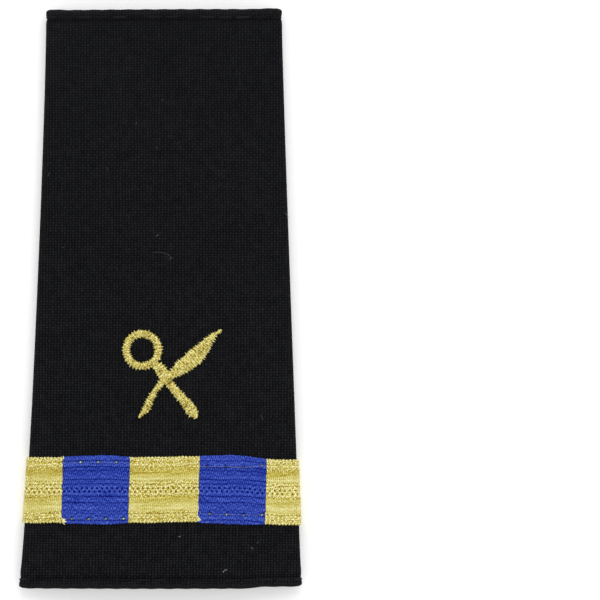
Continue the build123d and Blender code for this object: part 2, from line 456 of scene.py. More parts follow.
stitchLook = {
    **plainYarn,
    "fleck": 2.2,
    "fleckScale": 4.6,
    "fleckAcross": 0.8,
    "hueSpread": 0.15,
    "twist": (3.0, 2.0),
    "depth": 0.00003,
    "colours": [
        (0.0, (0.17, 0.10, 0.008)),
        (0.3, (0.45, 0.36, 0.055)),
        (0.6, (0.70, 0.61, 0.17)),
        (0.85, (0.88, 0.81, 0.33)),
        (1.0, (1.0, 0.94, 0.50)),
    ],
    "finish": {"Roughness": 0.4, "Metallic": 0.6, "Specular IOR Level": 0.35},
}
hemLook = {
    **plainYarn,
    "fleck": 0.4,
    "fleckAcross": 0.6,
    "hueSpread": 0.0,
    "twist": (1.6, 2.0),
    "depth": 0.00004,
    "colours": [
        (0.0, (0.0008, 0.0008, 0.0010)),
        (0.5, (0.0070, 0.0070, 0.0088)),
        (1.0, (0.0170, 0.0170, 0.0210)),
    ],
    "finish": {"Roughness": 0.85, "Specular IOR Level": 0.08},
}
amberLook = {  # olive over the blue below the middle of the shade, amber over the gold above it
    **plainYarn,
    "fleck": 0.15,
    "fleckScale": 3.0,
    "colours": [
        (0.0, (0.022, 0.030, 0.085)),
        (0.22, (0.26, 0.29, 0.030)),
        (0.46, (0.66, 0.80, 0.13)),
        (0.54, (0.42, 0.24, 0.004)),
        (0.80, (0.70, 0.55, 0.012)),
        (1.0, (0.88, 0.78, 0.05)),
    ],
    "finish": {"Roughness": 0.45, "Metallic": 0.4, "Specular IOR Level": 0.4},
}
paleLook = {
    **plainYarn,
    "fleck": 0.3,
    "fleckAcross": 0.6,
    "hueSpread": 0.0,
    "colours": [(0.0, (0.045, 0.065, 0.24)), (0.5, (0.15, 0.19, 0.48)), (1.0, (0.45, 0.50, 0.75))],
    "finish": {"Roughness": 0.7, "Specular IOR Level": 0.2},
}
fibreLook = {
    **plainYarn,
    "fleck": 0.15,
    "fleckAcross": 0.6,
    "hueSpread": 0.0,
    "depth": 0.00001,
    "colours": [(0.0, (0.03, 0.03, 0.03)), (0.5, (0.25, 0.25, 0.25)), (1.0, (0.90, 0.90, 0.88))],
    "finish": {"Roughness": 0.7, "Specular IOR Level": 0.2},
}
sleeveCloth = makeCloth("blackCloth", clothLook)
goldBraid = makeYarn("goldBraid", goldLook)
blueBraid = makeYarn("blueBraid", blueLook)
goldStitching = makeYarn("goldStitching", stitchLook)
hemThread = makeYarn("hemThread", hemLook)
amberThread = makeYarn("amberThread", amberLook)
paleThread = makeYarn("paleThread", paleLook)
looseFibre = makeYarn("looseFibre", fibreLook)
print("finishes made")

# Sleeve
sleeve = {
    "rowStep": 0.45,
    "hemStep": 0.15,
    "closeStep": 0.2,  # of the pattern, over the join in the wide lip
    "hemWide": 3.3,
    "innerRows": 56,
    "lipRows": 7,
    "frontCells": 60,
    "foldCells": 12,
    "underCells": 22,
    "flatStops": [0.0, 0.2, 0.4, 0.58, 0.74, 0.86, 0.93, 0.97, 0.985, 1.0],
    "stitchLine": [1.62, 1.56],  # from the wide and from the narrow mouth
    "stitchPitch": 3.4,
    # Relief beside each row of stitches: height, place inside the row, width, and the steady share and the
    # share that comes and goes from stitch to stitch
    "pucker": {"height": -0.16, "inward": 0.3, "wide": 0.42, "steady": 0.6, "beat": 0.4},
    "swell": {"height": 0.045, "inward": 1.8, "wide": 0.8, "steady": 1.0, "beat": -0.4},
    "puff": 0.09,
    "puffBeat": -0.45,
    "edgeWave": 0.035,
    # Slow rolls over the front: height, size and seed of each, from this far round the back
    "rolls": [(0.05, 15.0, 3), (0.0175, 5.0, 4)],
    "rollFrom": (20, 34),
    "backSeam": 0.22,
    "seamWide": 0.28,
    # How far the mouths lie off their nominal lines, from this far in. The narrow one dips and tilts, with
    # raised corners, and the wide one dips and rises at its right end.
    "mouthReach": 5,
    "narrowDip": -0.08,
    "narrowTilt": 0.005,
    "narrowCorner": (0.16, 16, 22),
    "wideDip": -0.1,
    "wideCorner": (0.34, 16.5, 19.5),
    # Painted light at the rolled edges and along the stitches, and painted shadow in the grooves: amount,
    # place and width
    "edgePaintedLight": (0.28, 0.2, 0.7),
    "rowShade": (0.08, 0.0, 0.25),
    "groovePaintedShadow": (-0.28, 0.57, 0.28),
    # Painted light towards the left of the upper half and along the left fold, with where each starts and
    # ends
    "upperLeftPaintedLight": {"shade": 0.09, "x": (-5, 26), "y": (10, 50)},
    "leftFoldPaintedLight": {"shade": 0.05, "x": (20, 27)},
    # Painted light and shade that follow the relief: darker in the grooves and down the back seam, lighter
    # on the puffs
    "reliefPaintedShade": 0.5,
    "patches": (0.03, 9.0, 8),
}


def sleeveRelief(around, y, toBack):
    # How far the cloth stands proud: a groove under each row of stitches, deepest at the needle holes, a
    # swell inside it, a puffed edge outside it, slow rolls over the front, and the seam down the back
    relief = np.zeros(np.broadcast(around, y).shape)
    beat = np.cos(2 * np.pi * around / sleeve["stitchPitch"])
    for end, line in zip((-1, 1), sleeve["stitchLine"]):
        inward = tube["length"] / 2 - end * y
        arch = np.sin(np.pi * np.clip(inward / line, 0, 1))
        relief += sleeve["puff"] * arch * (1 + sleeve["puffBeat"] * beat)
        for form in (sleeve["pucker"], sleeve["swell"]):
            share = form["steady"] + form["beat"] * beat
            relief += form["height"] * bump(inward, line + form["inward"], form["wide"]) * share
    for roll in sleeve["rolls"]:
        relief += eased(toBack, *sleeve["rollFrom"]) * wander(around, y, roll)
    return relief - sleeve["backSeam"] * bump(toBack, 0, sleeve["seamWide"])


def hemPaintedLightAndShade(y):
    # Painted light on the hems at the rolled edge and along the stitches, painted shadow in the groove
    # beside them
    tint = 0 * y
    for end, line in zip((-1, 1), sleeve["stitchLine"]):
        inward = tube["length"] / 2 - end * y
        for key, start in (("edgePaintedLight", 0), ("rowShade", line), ("groovePaintedShadow", line)):
            amount, place, wide = sleeve[key]
            tint += amount * bump(inward, start + place, wide)
    return tint


def columnsOf(y):
    # The distance round the cloth of each column, from the middle of the back by the left fold, the front
    # and the right fold to the middle of the back again, with the same number of columns on each arc
    runs = tubeAt(y)["runs"]
    cells = [sleeve["frontCells"], sleeve["foldCells"], sleeve["underCells"]]
    parts, before = [], 0 * y
    for run, count in zip(runs, cells):
        parts.append(before + run * np.linspace(0, 1, count, endpoint=False))
        before = before + run
    parts.append(before + runs[3] * np.array(sleeve["flatStops"]))
    right = np.concatenate(parts, -1)
    return np.concatenate([-right[:, :0:-1], right], -1)


def makeSleeve():
    # One closed shell: a profile that runs up the outside, over the narrow lip, down the inside and over
    # the wide lip, carried all the way round the tube
    reach, wall = tube["length"] / 2, tube["wall"]
    lip = wall / 2
    side, hemWide = reach - lip, sleeve["hemWide"]
    close = np.linspace(0, hemWide, int(hemWide / sleeve["hemStep"]), endpoint=False)
    body = np.linspace(hemWide - side, side - hemWide, int(tube["length"] / sleeve["rowStep"]))
    outer = np.concatenate([close - side, body, (side - close)[::-1]])
    inner = np.linspace(side, -side, sleeve["innerRows"])
    turn = np.linspace(0, np.pi, sleeve["lipRows"] + 2)[1:-1]
    y = np.concatenate([outer, reach - lip + lip * np.sin(turn), inner, lip - reach - lip * np.sin(turn)])
    proud = np.concatenate(
        [0 * outer, lip * (np.cos(turn) - 1), 0 * inner - wall, lip * (-np.cos(turn) - 1)]
    )
    y, proud = y[:, None], proud[:, None]
    around = columnsOf(y)
    toBack = around[:, -1:] - np.abs(around)
    outside = 1 + proud / wall
    relief = sleeveRelief(around, y, toBack) * outside
    points = onTube(around, y + 0 * around, proud + relief)
    x = points[..., 0]
    beat = sleeve["edgeWave"] * np.cos(2 * np.pi * around / sleeve["stitchPitch"])
    rise, start, end = sleeve["narrowCorner"]
    narrowLine = sleeve["narrowTilt"] * x + sleeve["narrowDip"] + rise * eased(np.abs(x), start, end)
    rise, start, end = sleeve["wideCorner"]
    wideLine = sleeve["wideDip"] + rise * eased(x, start, end)
    near = reach - sleeve["mouthReach"]
    points[..., 1] += eased(y, near, reach) * (narrowLine + beat)
    points[..., 1] += eased(-y, near, reach) * (wideLine + beat)
    points[..., 2] = np.maximum(points[..., 2], 0.0)
    # Painted light towards the upper left and along the left fold; with the hems' painted light and shade
    # it is put on the outside only
    corner, fold = sleeve["upperLeftPaintedLight"], sleeve["leftFoldPaintedLight"]
    light = corner["shade"] * eased(-x, *corner["x"]) * eased(y, *corner["y"])
    light += fold["shade"] * eased(-x, *fold["x"])
    # Random patches, plus painted light and shade that follow the relief
    shade = 0.5 + wander(around, y, sleeve["patches"]) + sleeve["reliefPaintedShade"] * relief
    shade += outside * (hemPaintedLightAndShade(y) + light)
    rows, columns = around.shape[0], around.shape[1] - 1
    faces, row, column = gridFaces(rows, columns, True, True)
    run = np.concatenate([[0], np.cumsum(np.hypot(np.diff(y[:, 0]), np.diff(proud[:, 0])))])
    run = np.append(run, run[-1] + sleeve["closeStep"])
    places = np.stack([around[row % rows, column], run[row]], -1).reshape(-1, 2)
    return makeMesh("sleeveCloth", points[:, :-1].reshape(-1, 3), [faces], [places], shade[:, :-1])


sleevePiece = finish(makeSleeve(), sleeveCloth, "black_cloth", "sleeve")
print("sleeve made", len(sleevePiece.data.polygons))

# Hem stitches: two rows round the whole tube
hem = {
    "radius": 0.23,
    "rings": 13,
    "sides": 8,
    "cover": 0.97,  # share of the pitch that a stitch fills
    "rise": -0.04,
    "sink": -0.34,
    "slant": 0.10,
    "wander": 0.03,
    "taper": 0.35,
    "seed": 20,
    # The least and the most of what each stitch has of its own
    "lengths": (0.94, 1.02),
    "slants": (0.3, 1.0),
    "thickness": (0.85, 1.1),
    "shades": (0.30, 0.85),
}


def hemRow(line, end, seed):
    # Stitches one after the other: each rises out of the cloth in a flat arch, and its height is sink plus
    # (rise - sink) times (1 - s^4)
    rng = np.random.default_rng(seed)
    y = end * (tube["length"] / 2 - line)
    total = float(sum(tubeAt(np.array(y))["runs"]))
    pitch = sleeve["stitchPitch"]
    count = int(round(2 * total / pitch))
    middles = (np.arange(count) - (count - 1) / 2) * pitch
    middles = middles[np.abs(middles) < total - pitch / 2][:, None]
    s = np.linspace(-1, 1, hem["rings"])[None]
    around = middles + 0.5 * pitch * hem["cover"] * s * rng.uniform(*hem["lengths"], middles.shape)
    height = hem["sink"] + (hem["rise"] - hem["sink"]) * (1 - s**4)
    across = y + hem["slant"] * s * rng.uniform(*hem["slants"], middles.shape)
    across = across + rng.normal(0, hem["wander"], middles.shape)
    paths = onTube(around, across, height)
    paths[..., 2] = np.maximum(paths[..., 2], hem["radius"] + 0.01)  # clear of the floor
    radii = hem["radius"] * (1 - hem["taper"] * s**8) * rng.uniform(*hem["thickness"], middles.shape)
    # The shade falls to nothing at each end of a stitch: painted shade in the needle holes
    shade = rng.uniform(*hem["shades"], middles.shape) * (1 - s**6)
    return paths, radii, shade


hemRows = [hemRow(line, end, hem["seed"] + end) for line, end in zip(sleeve["stitchLine"], (-1, 1))]
hemPiece = makeThreads("hemStitches", hemRows, hem["sides"], (0.0, 1.0, 0.0))
finish(hemPiece, hemThread, "black_cloth")
print("hem stitches made", sum(len(row[0]) for row in hemRows))

# Loose fibres on the cloth: place of the middle, length, heading in degrees and brightness of each
fibres = {
    "x": [
        0.4, -4.7, -2.3, -0.6, 3.5, -10.2, -21.3, 24.6, -0.6,
        -18.7, 0.6, 2.1, -8.4, 19.5, 3.8, 18.8, 17.7, 12.5,
    ],
    "y": [
        38.2, 33.7, 32.1, 29.0, 30.0, 24.9, 24.0, 16.1, 12.2,
        9.9, 8.2, 7.7, 5.8, -22.9, -45.7, -46.9, -48.0, -52.4,
    ],
    "length": [0.5, 0.7, 0.5, 0.5, 0.4, 0.8, 0.8, 1.4, 0.6, 0.4, 4.4, 0.6, 0.6, 1.0, 0.5, 0.5, 0.5, 1.0],
    "heading": [20, 70, -40, 90, 10, 120, 60, 130, 30, 0, -17, 40, 100, -60, 15, 60, 140, 35],
    "shine": [
        0.18, 0.16, 0.06, 0.24, 0.12, 0.15, 0.23, 0.25, 0.5,
        0.1, 0.14, 0.43, 0.06, 0.23, 0.71, 0.23, 0.6, 0.82,
    ],
    "radius": 0.026,
    "rings": 7,
    "sides": 5,
    "seed": 25,
    "bow": 0.25,  # of the length at most
    "ripple": (0.04, 7, 9),  # size, and radians over half the fibre and a millimetre across the cloth
    "lift": 0.07,
    "endLift": 0.06,
}


def makeFibres(name):
    # Each fibre is a shallow curve, side = bow times (1 - s^2) plus a ripple, and lies on the cloth with
    # its ends a little lifted
    rng = np.random.default_rng(fibres["seed"])
    x, y, length, heading, shine = (
        np.array(fibres[key], float)[:, None] for key in ("x", "y", "length", "heading", "shine")
    )
    s = np.linspace(-1, 1, fibres["rings"])[None]
    bow = length * rng.uniform(-fibres["bow"], fibres["bow"], x.shape) * (1 - s**2)
    size, alongFibre, alongCloth = fibres["ripple"]
    bow = bow + size * np.sin(alongFibre * s + alongCloth * x)
    px, py = turned(x, y, 0.5 * length * s, bow, np.radians(heading))
    paths = onFront(px, py, fibres["lift"] + fibres["endLift"] * s**2)
    radii = fibres["radius"] * (1 - 0.5 * s**4)
    return makeThreads(name, [(paths, radii, shine + 0 * s)], fibres["sides"])


finish(makeFibres("looseFibres"), looseFibre, "black_cloth")
print("loose fibres made", len(fibres["x"]))

# Woven lace. Places up the lace are measured from its lower edge.
lace = {
    "low": 12.5 - tube["length"] / 2,
    "height": 12.7,
    "gap": 0.05,
    "base": 0.34,
    "shift": 0.75,
    "goldHalf": 0.247 * tube["wideMouth"] / 2,
    "break": 0.236 * tube["wideMouth"],
    "turn": 5.0,
    "seamGap": 0.06,
    "slant": 0.35,
    "raggedSeam": [(0.06, 1.5, 60), (0.09, 0.5, 62)],  # amount, size and seed
    "swell": 0.3,
    "edgePitch": 0.65,
    "edgeWander": (0.05, 1.3, 61),  # amount, size and seed
    "edgeRound": 0.28,
    "edgeThin": 0.35,
    # Shade at the foot of the walls, where the lace meets the cloth: painted shade
    "wallFootPaintedShade": 0.2,
    "columnStep": 0.062,
    "rowStep": 0.075,
    # How far the lace drops at its right end, and how far it rises along the front
    "drop": 0.45,
    "dropFrom": 13.8,
    "dropTo": 21.1,
    "riseAt": [-24.0, -20.0, -15.0, -2.0, 4.5, 10.0, 16.0, 20.5, 24.0],
    "rise": [0.0, 0.05, 0.10, 0.10, 0.28, 0.20, 0.12, 0.18, 0.03],
    # The weave of both colours: the knots, the rows of pits, and how knotted it is rather than smooth
    "scatter": 0.62,
    "knotSlim": 1.3,  # height of a knot over its width
    "knotShine": (0.55, 0.45),  # its own part, and what every second knot of a row has more
    "floatWander": (0.05, 1.1),
    "holePitch": 0.979,
    "holeShift": 0.25,
    "holeRows": [6.61, 5.95],
    "holeSizes": (0.7, 0.3),  # the least, and what its own value adds
    "holeSeed": 31,
    "rimAt": (1.55, 0.4),  # the bright rim of a pit and its width, in sizes of the pit
    "grainSize": 0.15,
    "bandAt": [0.0, 2.0, 2.4, 4.85, 5.1, 8.05, 8.25, 9.9, 10.3, 11.2, 12.7],
    "knotted": [1.0, 1.0, 0.0, 0.0, 1.0, 1.0, 0.0, 0.0, 0.75, 1.0, 1.0],
}
goldLace = {
    "scallop": 0.07,
    "wobble": (0.07, 1.9, 40),
    "knots": (0.39, 0.44, 41),  # pitch, rise and seed
    "knotSize": 0.25,
    "borderWide": 0.08,
    # Patches of stronger borders and lines: least, what they add, size, seed, and the noise at which they
    # start and are full
    "borderPatches": (0.62, 0.2, 0.8, 47, -0.6, 0.4),
    "linePatches": (0.6, 0.6, 1.6, 48, -0.7, 0.5),
    "stretch": 0.06,  # draws the streaks out along the lace
    "streak": (0.15, 0.20, 49),
    "slow": (1.0, 3.0, 44),
    "knotDepth": (0.6, 0.7),  # the least of a knot's height, and what its own value adds
    "shineMiddle": 0.45,
    "shineEdge": 0.25,  # share of a knot's shine that is left at its edge
    "rightFrom": (18, 22),
    "ribs": (0.39, 1.9, 43),  # pitch, length and seed
    "grainSeed": 46,
    "hole": (0.24, 0.25),
    "pit": 0.22,
    "beadAt": [0.25, 12.45],
    "beadWide": 0.25,
    # Height of each feature
    "relief": {
        "knot": 0.15, "border": 0.03, "smooth": 0.07, "rib": 0.02, "float": 0.02, "slow": 0.02,
        "hole": 0.16, "line": 0.2, "pit": 0.15,
    },
    # Shade of each feature: the knot's is a painted highlight on its dome, the border's, hole's and pit's
    # are painted shade, and the rim's is a painted highlight round each pit
    "tone": {
        "glint": 0.66, "knot": 0.22, "border": 0.52, "knotGrain": 0.32, "rib": 0.13, "float": 0.10,
        "smoothGrain": 0.16, "slow": 0.02, "rim": 0.16, "bead": 0.16, "right": 0.05, "hole": 0.98,
        "pit": 0.25,
    },
    "shadeAt": [
        0.0, 0.45, 1.4, 2.4, 3.15, 3.9, 4.7, 5.1, 5.5,
        6.95, 7.85, 8.55, 9.15, 9.8, 10.6, 11.2, 12.7,
    ],
    "shade": [
        0.56, 0.57, 0.56, 0.51, 0.60, 0.47, 0.43, 0.38, 0.55,
        0.58, 0.58, 0.59, 0.43, 0.31, 0.37, 0.58, 0.60,
    ],
    "lineAt": [11.68, 8.10, 7.35, 5.0, 1.82, 0.76, 0.2],
    "lineDepth": [0.22, 0.19, 0.18, 0.15, 0.22, 0.26, 0.08],
    "lineWide": 0.13,
}
blueLace = {
    "scallop": 0.03,
    "wobble": (0.06, 2.3, 50),
    "knots": (0.34, 0.44, 51),
    "knotSize": 0.26,
    "ribs": (0.40, 0.82, 52),
    "hole": (0.23, 0.22),
    "holeUp": 0.07,
    "pit": 0.26,
    "pitUp": 0.14,
    "knotDepth": (0.4, 1.0),
    "knotShare": (0.6, 0.4),  # strength of the knots in the smooth bands, and what the knotted ones add
    "shineMiddle": 0.5,
    "grainTall": 0.8,
    "grainSeed": 56,
    "lowGrainFrom": (-6.5, -4),  # coarser grain low on the lace, in millimetres down
    "linePatches": (0.75, 0.4, 1.1, 54, -0.8, 0.6),
    "snagPatches": (0.0, 1.0, 0.15, 59, -0.1, 0.3),
    "stretch": 0.05,
    "streak": (0.08, 0.19, 57),
    "relief": {"base": 0.09, "rib": 0.02, "knot": 0.02, "groove": 0.22, "hole": 0.30, "pit": 0.12},
    # The groove's, hole's and pit's shades are painted shade, and the rim's is a painted highlight
    "tone": {
        "rib": 0.15, "float": 0.03, "glint": 0.08, "knot": 0.06, "grain": 0.20, "lowGrain": 0.04,
        "rim": 0.14, "groove": 1.22, "snag": 0.30, "hole": 0.9, "pit": 0.88,
    },
    "shadeAt": [
        0.0, 3.0, 3.4, 3.7, 4.0, 4.35, 4.7, 5.1, 5.45, 6.0,
        7.7, 8.0, 8.4, 8.9, 9.2, 10.7, 11.15, 11.5, 12.2, 12.7,
    ],
    "shade": [
        0.535, 0.535, 0.475, 0.445, 0.52, 0.59, 0.505, 0.52, 0.60, 0.525,
        0.54, 0.475, 0.54, 0.505, 0.455, 0.475, 0.59, 0.525, 0.58, 0.55,
    ],
    "lineAt": [11.95, 10.72, 10.0, 8.30, 7.5, 5.12, 3.91, 2.3, 1.78, 0.48],
    "lineDepth": [0.32, 0.42, 0.22, 0.36, 0.26, 0.42, 0.28, 0.16, 0.14, 0.24],
    "lineWide": 0.10,
    "lineWave": (0.15, 5.5, 58),
    # Disturbed places: across the front and up the lace
    "snagX": [-16.4, -10.8, 8.2],
    "snagT": [4.2, 5.7, 4.1],
    "snagSize": (1.7, 0.6),
}
# Where the needle went through the lace: across the front, up the lace, and how bright the thread shows
needle = {
    "upperX": [-22.6, -19.2, -15.3, -11.9, -8.4, -5.1, -1.5, 2.1, 5.8, 9.1, 12.6, 16.1, 19.6, 23.0],
    "upperY": [11.6, 11.95, 11.7, 11.7, 11.7, 11.6, 11.6, 11.4, 11.75, 10.8, 10.8, 10.8, 11.35, 11.2],
    "upperShine": [0.9, 0.8, 0.95, 0.7, 0.7, 0.5, 0.6, 0.8, 0.5, 0.05, 0.05, 0.15, 0.5, 0.5],
    "lowerX": [-23.7, -20.3, -17.0, -13.7, -10.4, -7.0, -3.7, -0.4, 2.9, 6.0, 9.5, 12.8, 16.1, 19.6, 23.2],
    "lowerY": [0.95, 0.85, 0.8, 0.75, 0.8, 0.85, 0.9, 1.1, 1.3, 1.05, 1.65, 1.55, 1.6, 1.87, 1.75],
    "lowerShine": [0.3, 0.35, 0.5, 0.6, 0.6, 0.9, 0.3, 0.7, 0.7, 0.6, 0.55, 0.65, 0.4, 0.75, 0.5],
}


def ownValues(line, count, seed):
    # Four random values from 0 to 1 for each numbered knot or thread
    table = np.random.default_rng(seed).uniform(0, 1, (64, 256, 4))
    return np.moveaxis(table[line % 64, count % 256], -1, 0)


def grain(a, t, seed):
    # Fine grain without broad patches: smooth noise less the same noise a little farther up
    size = lace["grainSize"]
    return unevenness(a, t, size, seed) - unevenness(a, t + 2 * size, size, seed)


def knotField(a, t, pitch, rise, seed):
    # Irregular knots: each cell of the staggered rows holds one knot, moved at random inside it. Gives the
    # distance in millimetres to the nearest knot, how much farther the next is, the nearest one's shine,
    # which also changes from each knot to the next in its row, and a value of its own.
    line = np.floor(t / rise).astype(int)
    nearest, second, glint, lean = 9.0 + 0 * a, 9.0 + 0 * a, 0 * a, 0 * a
    for row in (line - 1, line, line + 1):
        shift = 0.5 * (row % 2)
        middle = np.floor(a / pitch - shift).astype(int)
        for count in (middle - 1, middle, middle + 1):
            own = ownValues(row, count, seed)
            across = (count + 0.5 + shift + lace["scatter"] * (own[0] - 0.5)) * pitch - a
            upward = (row + 0.5 + lace["scatter"] * (own[1] - 0.5)) * rise - t
            distance = np.hypot(lace["knotSlim"] * across, upward)
            closer = distance < nearest
            second = np.where(closer, nearest, np.minimum(second, distance))
            shine = lace["knotShine"][0] * own[2] + lace["knotShine"][1] * (count % 2)
            glint, lean = np.where(closer, shine, glint), np.where(closer, own[3], lean)
            nearest = np.where(closer, distance, nearest)
    return nearest, second - nearest, glint, lean


def ribField(a, t, pitch, length, seed):
    # Fine threads across the lace in rows of floats: a cosine along each row, every second row moved by
    # half a pitch, with a value of its own for each float
    row = np.floor(t / length).astype(int)
    place = (a + wander(a, t, (*lace["floatWander"], seed))) / pitch + 0.5 * (row % 2)
    count = np.floor(place).astype(int)
    return np.cos(2 * np.pi * (place - count - 0.5)), ownValues(row, count, seed)[0]


def holeField(a, t, wide, tall):
    # Two staggered rows of small upright pits, each a bell both ways, and the painted highlights on the
    # rims round them
    field, rimHighlights = 0 * a, 0 * a
    for number, row in enumerate(lace["holeRows"]):
        place = a / lace["holePitch"] + 0.5 * number + lace["holeShift"]
        own = ownValues(np.full(a.shape, number), np.floor(place).astype(int), lace["holeSeed"])[0]
        size = lace["holeSizes"][0] + lace["holeSizes"][1] * own
        nearest = (place - np.floor(place) - 0.5) * lace["holePitch"]
        distance = np.hypot(nearest / wide, (t - row) / tall)
        field += size * np.exp(-(distance**4))
        rimHighlights += size * bump(distance, *lace["rimAt"])
    return np.clip(field, 0, 1), np.clip(rimHighlights, 0, 1)


def needleField(x, t, size):
    # A small pit at each place that the needle went through
    field = 0 * x
    for row in ("upper", "lower"):
        for placeX, placeY in zip(needle[row + "X"], needle[row + "Y"]):
            field += np.exp(-(((x - placeX) / size) ** 2) - ((t - placeY) / size) ** 2)
    return field


def levelLines(own, t):
    # The sum of bells across the level lines of a colour
    return sum(depth * bump(t, at, own["lineWide"]) for at, depth in zip(own["lineAt"], own["lineDepth"]))


def patchy(a, t, patches):
    # The least share plus more times an eased step over smooth noise of this size and seed
    least, more, size, seed, start, full = patches
    return least + more * eased(unevenness(a, t, size, seed), start, full)


def goldWeave(a, x, t):
    # Height over the base and shade of the gold lace: domed knots in the knotted bands, each with a painted
    # highlight and with painted shade in the borders between them, fine ribs in the smooth ones, level
    # lines, pits in painted shade with painted highlights on their rims, and beads along both edges. Both
    # are knotted times those of the knots, plus (1 - knotted) times those of the ribs, less lines and pits.
    own, relief, tone = goldLace, goldLace["relief"], goldLace["tone"]
    t = t + wander(a, t, own["wobble"])
    knotted = np.interp(t, lace["bandAt"], lace["knotted"])
    near, apart, glint, lean = knotField(a, t, *own["knots"])
    dome = np.clip(1 - (near / own["knotSize"]) ** 2, 0, 1)
    border = bump(apart, 0, own["borderWide"]) * patchy(a, t, own["borderPatches"])
    rib, single = ribField(a, t, *own["ribs"])
    fine = grain(a, t, own["grainSeed"])
    hole, rimHighlights = holeField(a, t, *own["hole"])
    pit = needleField(x, t, own["pit"])
    line = levelLines(own, t) * patchy(a, t, own["linePatches"])
    slow = wander(a, t, own["slow"])
    least, more = own["knotDepth"]
    knotHeight = relief["knot"] * dome * (least + more * lean) - relief["border"] * border
    smoothHeight = relief["smooth"] + relief["rib"] * rib + relief["float"] * single
    height = knotted * knotHeight + (1 - knotted) * smoothHeight + relief["slow"] * slow
    height -= relief["hole"] * hole + relief["line"] * line + relief["pit"] * pit
    edge = own["shineEdge"]
    shine = tone["glint"] * (glint - own["shineMiddle"]) * (edge + (1 - edge) * dome)
    # Painted highlight on each knot's dome and painted shade in the borders between the knots
    knotTone = shine + tone["knot"] * dome + tone["knotGrain"] * fine - tone["border"] * border
    smoothTone = tone["rib"] * rib + tone["float"] * (single - 0.5) + tone["smoothGrain"] * fine
    smoothTone += wander(own["stretch"] * a, t, own["streak"])
    shade = np.interp(t, own["shadeAt"], own["shade"]) + knotted * knotTone + (1 - knotted) * smoothTone
    beads = sum(bump(t, at, own["beadWide"]) for at in own["beadAt"])
    beads = beads * np.cos(2 * np.pi * a / lace["edgePitch"])
    # Painted highlight on the rims of the pits
    shade += tone["slow"] * slow + tone["rim"] * knotted * rimHighlights - line + tone["bead"] * beads
    shade += tone["right"] * eased(x, *own["rightFrom"])  # the right end turns to the light
    # Painted shade in the pits and at the needle holes
    shade *= (1 - tone["hole"] * hole) * (1 - tone["pit"] * np.clip(pit, 0, 1))
    return height, np.clip(shade, 0, 1)


def blueWeave(a, x, t):
    # Height over the base and shade of the blue breaks: the same weave, softer, with level grooves in
    # painted shade and a few disturbed places. Each is the sum of its features, and pits take their share
    # of the whole shade as painted shade.
    own, relief, tone = blueLace, blueLace["relief"], blueLace["tone"]
    t = t + wander(a, t, own["wobble"])
    near, _, glint, lean = knotField(a, t, *own["knots"])
    dash = np.clip(1 - (near / own["knotSize"]) ** 2, 0, 1)
    rib, single = ribField(a, t, *own["ribs"])
    coarser = tone["lowGrain"] * eased(-t, *own["lowGrainFrom"])
    fine = grain(a, own["grainTall"] * t, own["grainSeed"]) * (tone["grain"] + coarser)
    hole, rimHighlights = holeField(a, t - own["holeUp"], *own["hole"])
    pit = needleField(x, t - own["pitUp"], own["pit"])
    least, more = own["knotShare"]
    bands = least + more * np.interp(t, lace["bandAt"], lace["knotted"])
    groove = levelLines(own, t + wander(a, 0.5 * t, own["lineWave"])) * patchy(a, t, own["linePatches"])
    least, more = own["knotDepth"]
    height = relief["base"] + relief["rib"] * rib + bands * relief["knot"] * dash * (least + more * lean)
    height -= relief["groove"] * groove + relief["hole"] * hole + relief["pit"] * pit
    shade = np.interp(t, own["shadeAt"], own["shade"]) + tone["rib"] * rib + tone["float"] * (single - 0.5)
    shine = tone["glint"] * (glint - own["shineMiddle"])
    shade += bands * (shine + tone["knot"] * (dash - 0.5)) + fine
    streak = wander(own["stretch"] * a, t, own["streak"])
    # Painted highlight on the rims of the pits and painted shade in the level grooves
    shade += streak + tone["rim"] * rimHighlights - tone["groove"] * groove
    wide, tall = own["snagSize"]
    for snagX, snagT in zip(own["snagX"], own["snagT"]):
        snag = bump(x, snagX, wide) * bump(t, snagT, tall)
        shade -= tone["snag"] * snag * patchy(a, 0.4 * t, own["snagPatches"])
    # Painted shade in the pits and at the needle holes
    shade *= (1 - tone["hole"] * hole) * (1 - tone["pit"] * np.clip(pit, 0, 1))
    return height, np.clip(shade, 0, 1)


def dropAt(x):
    # How far the lace runs below its nominal line, seen from above
    rise = np.interp(x, lace["riseAt"], lace["rise"])
    return lace["drop"] * eased(x, lace["dropFrom"], lace["dropTo"]) - rise


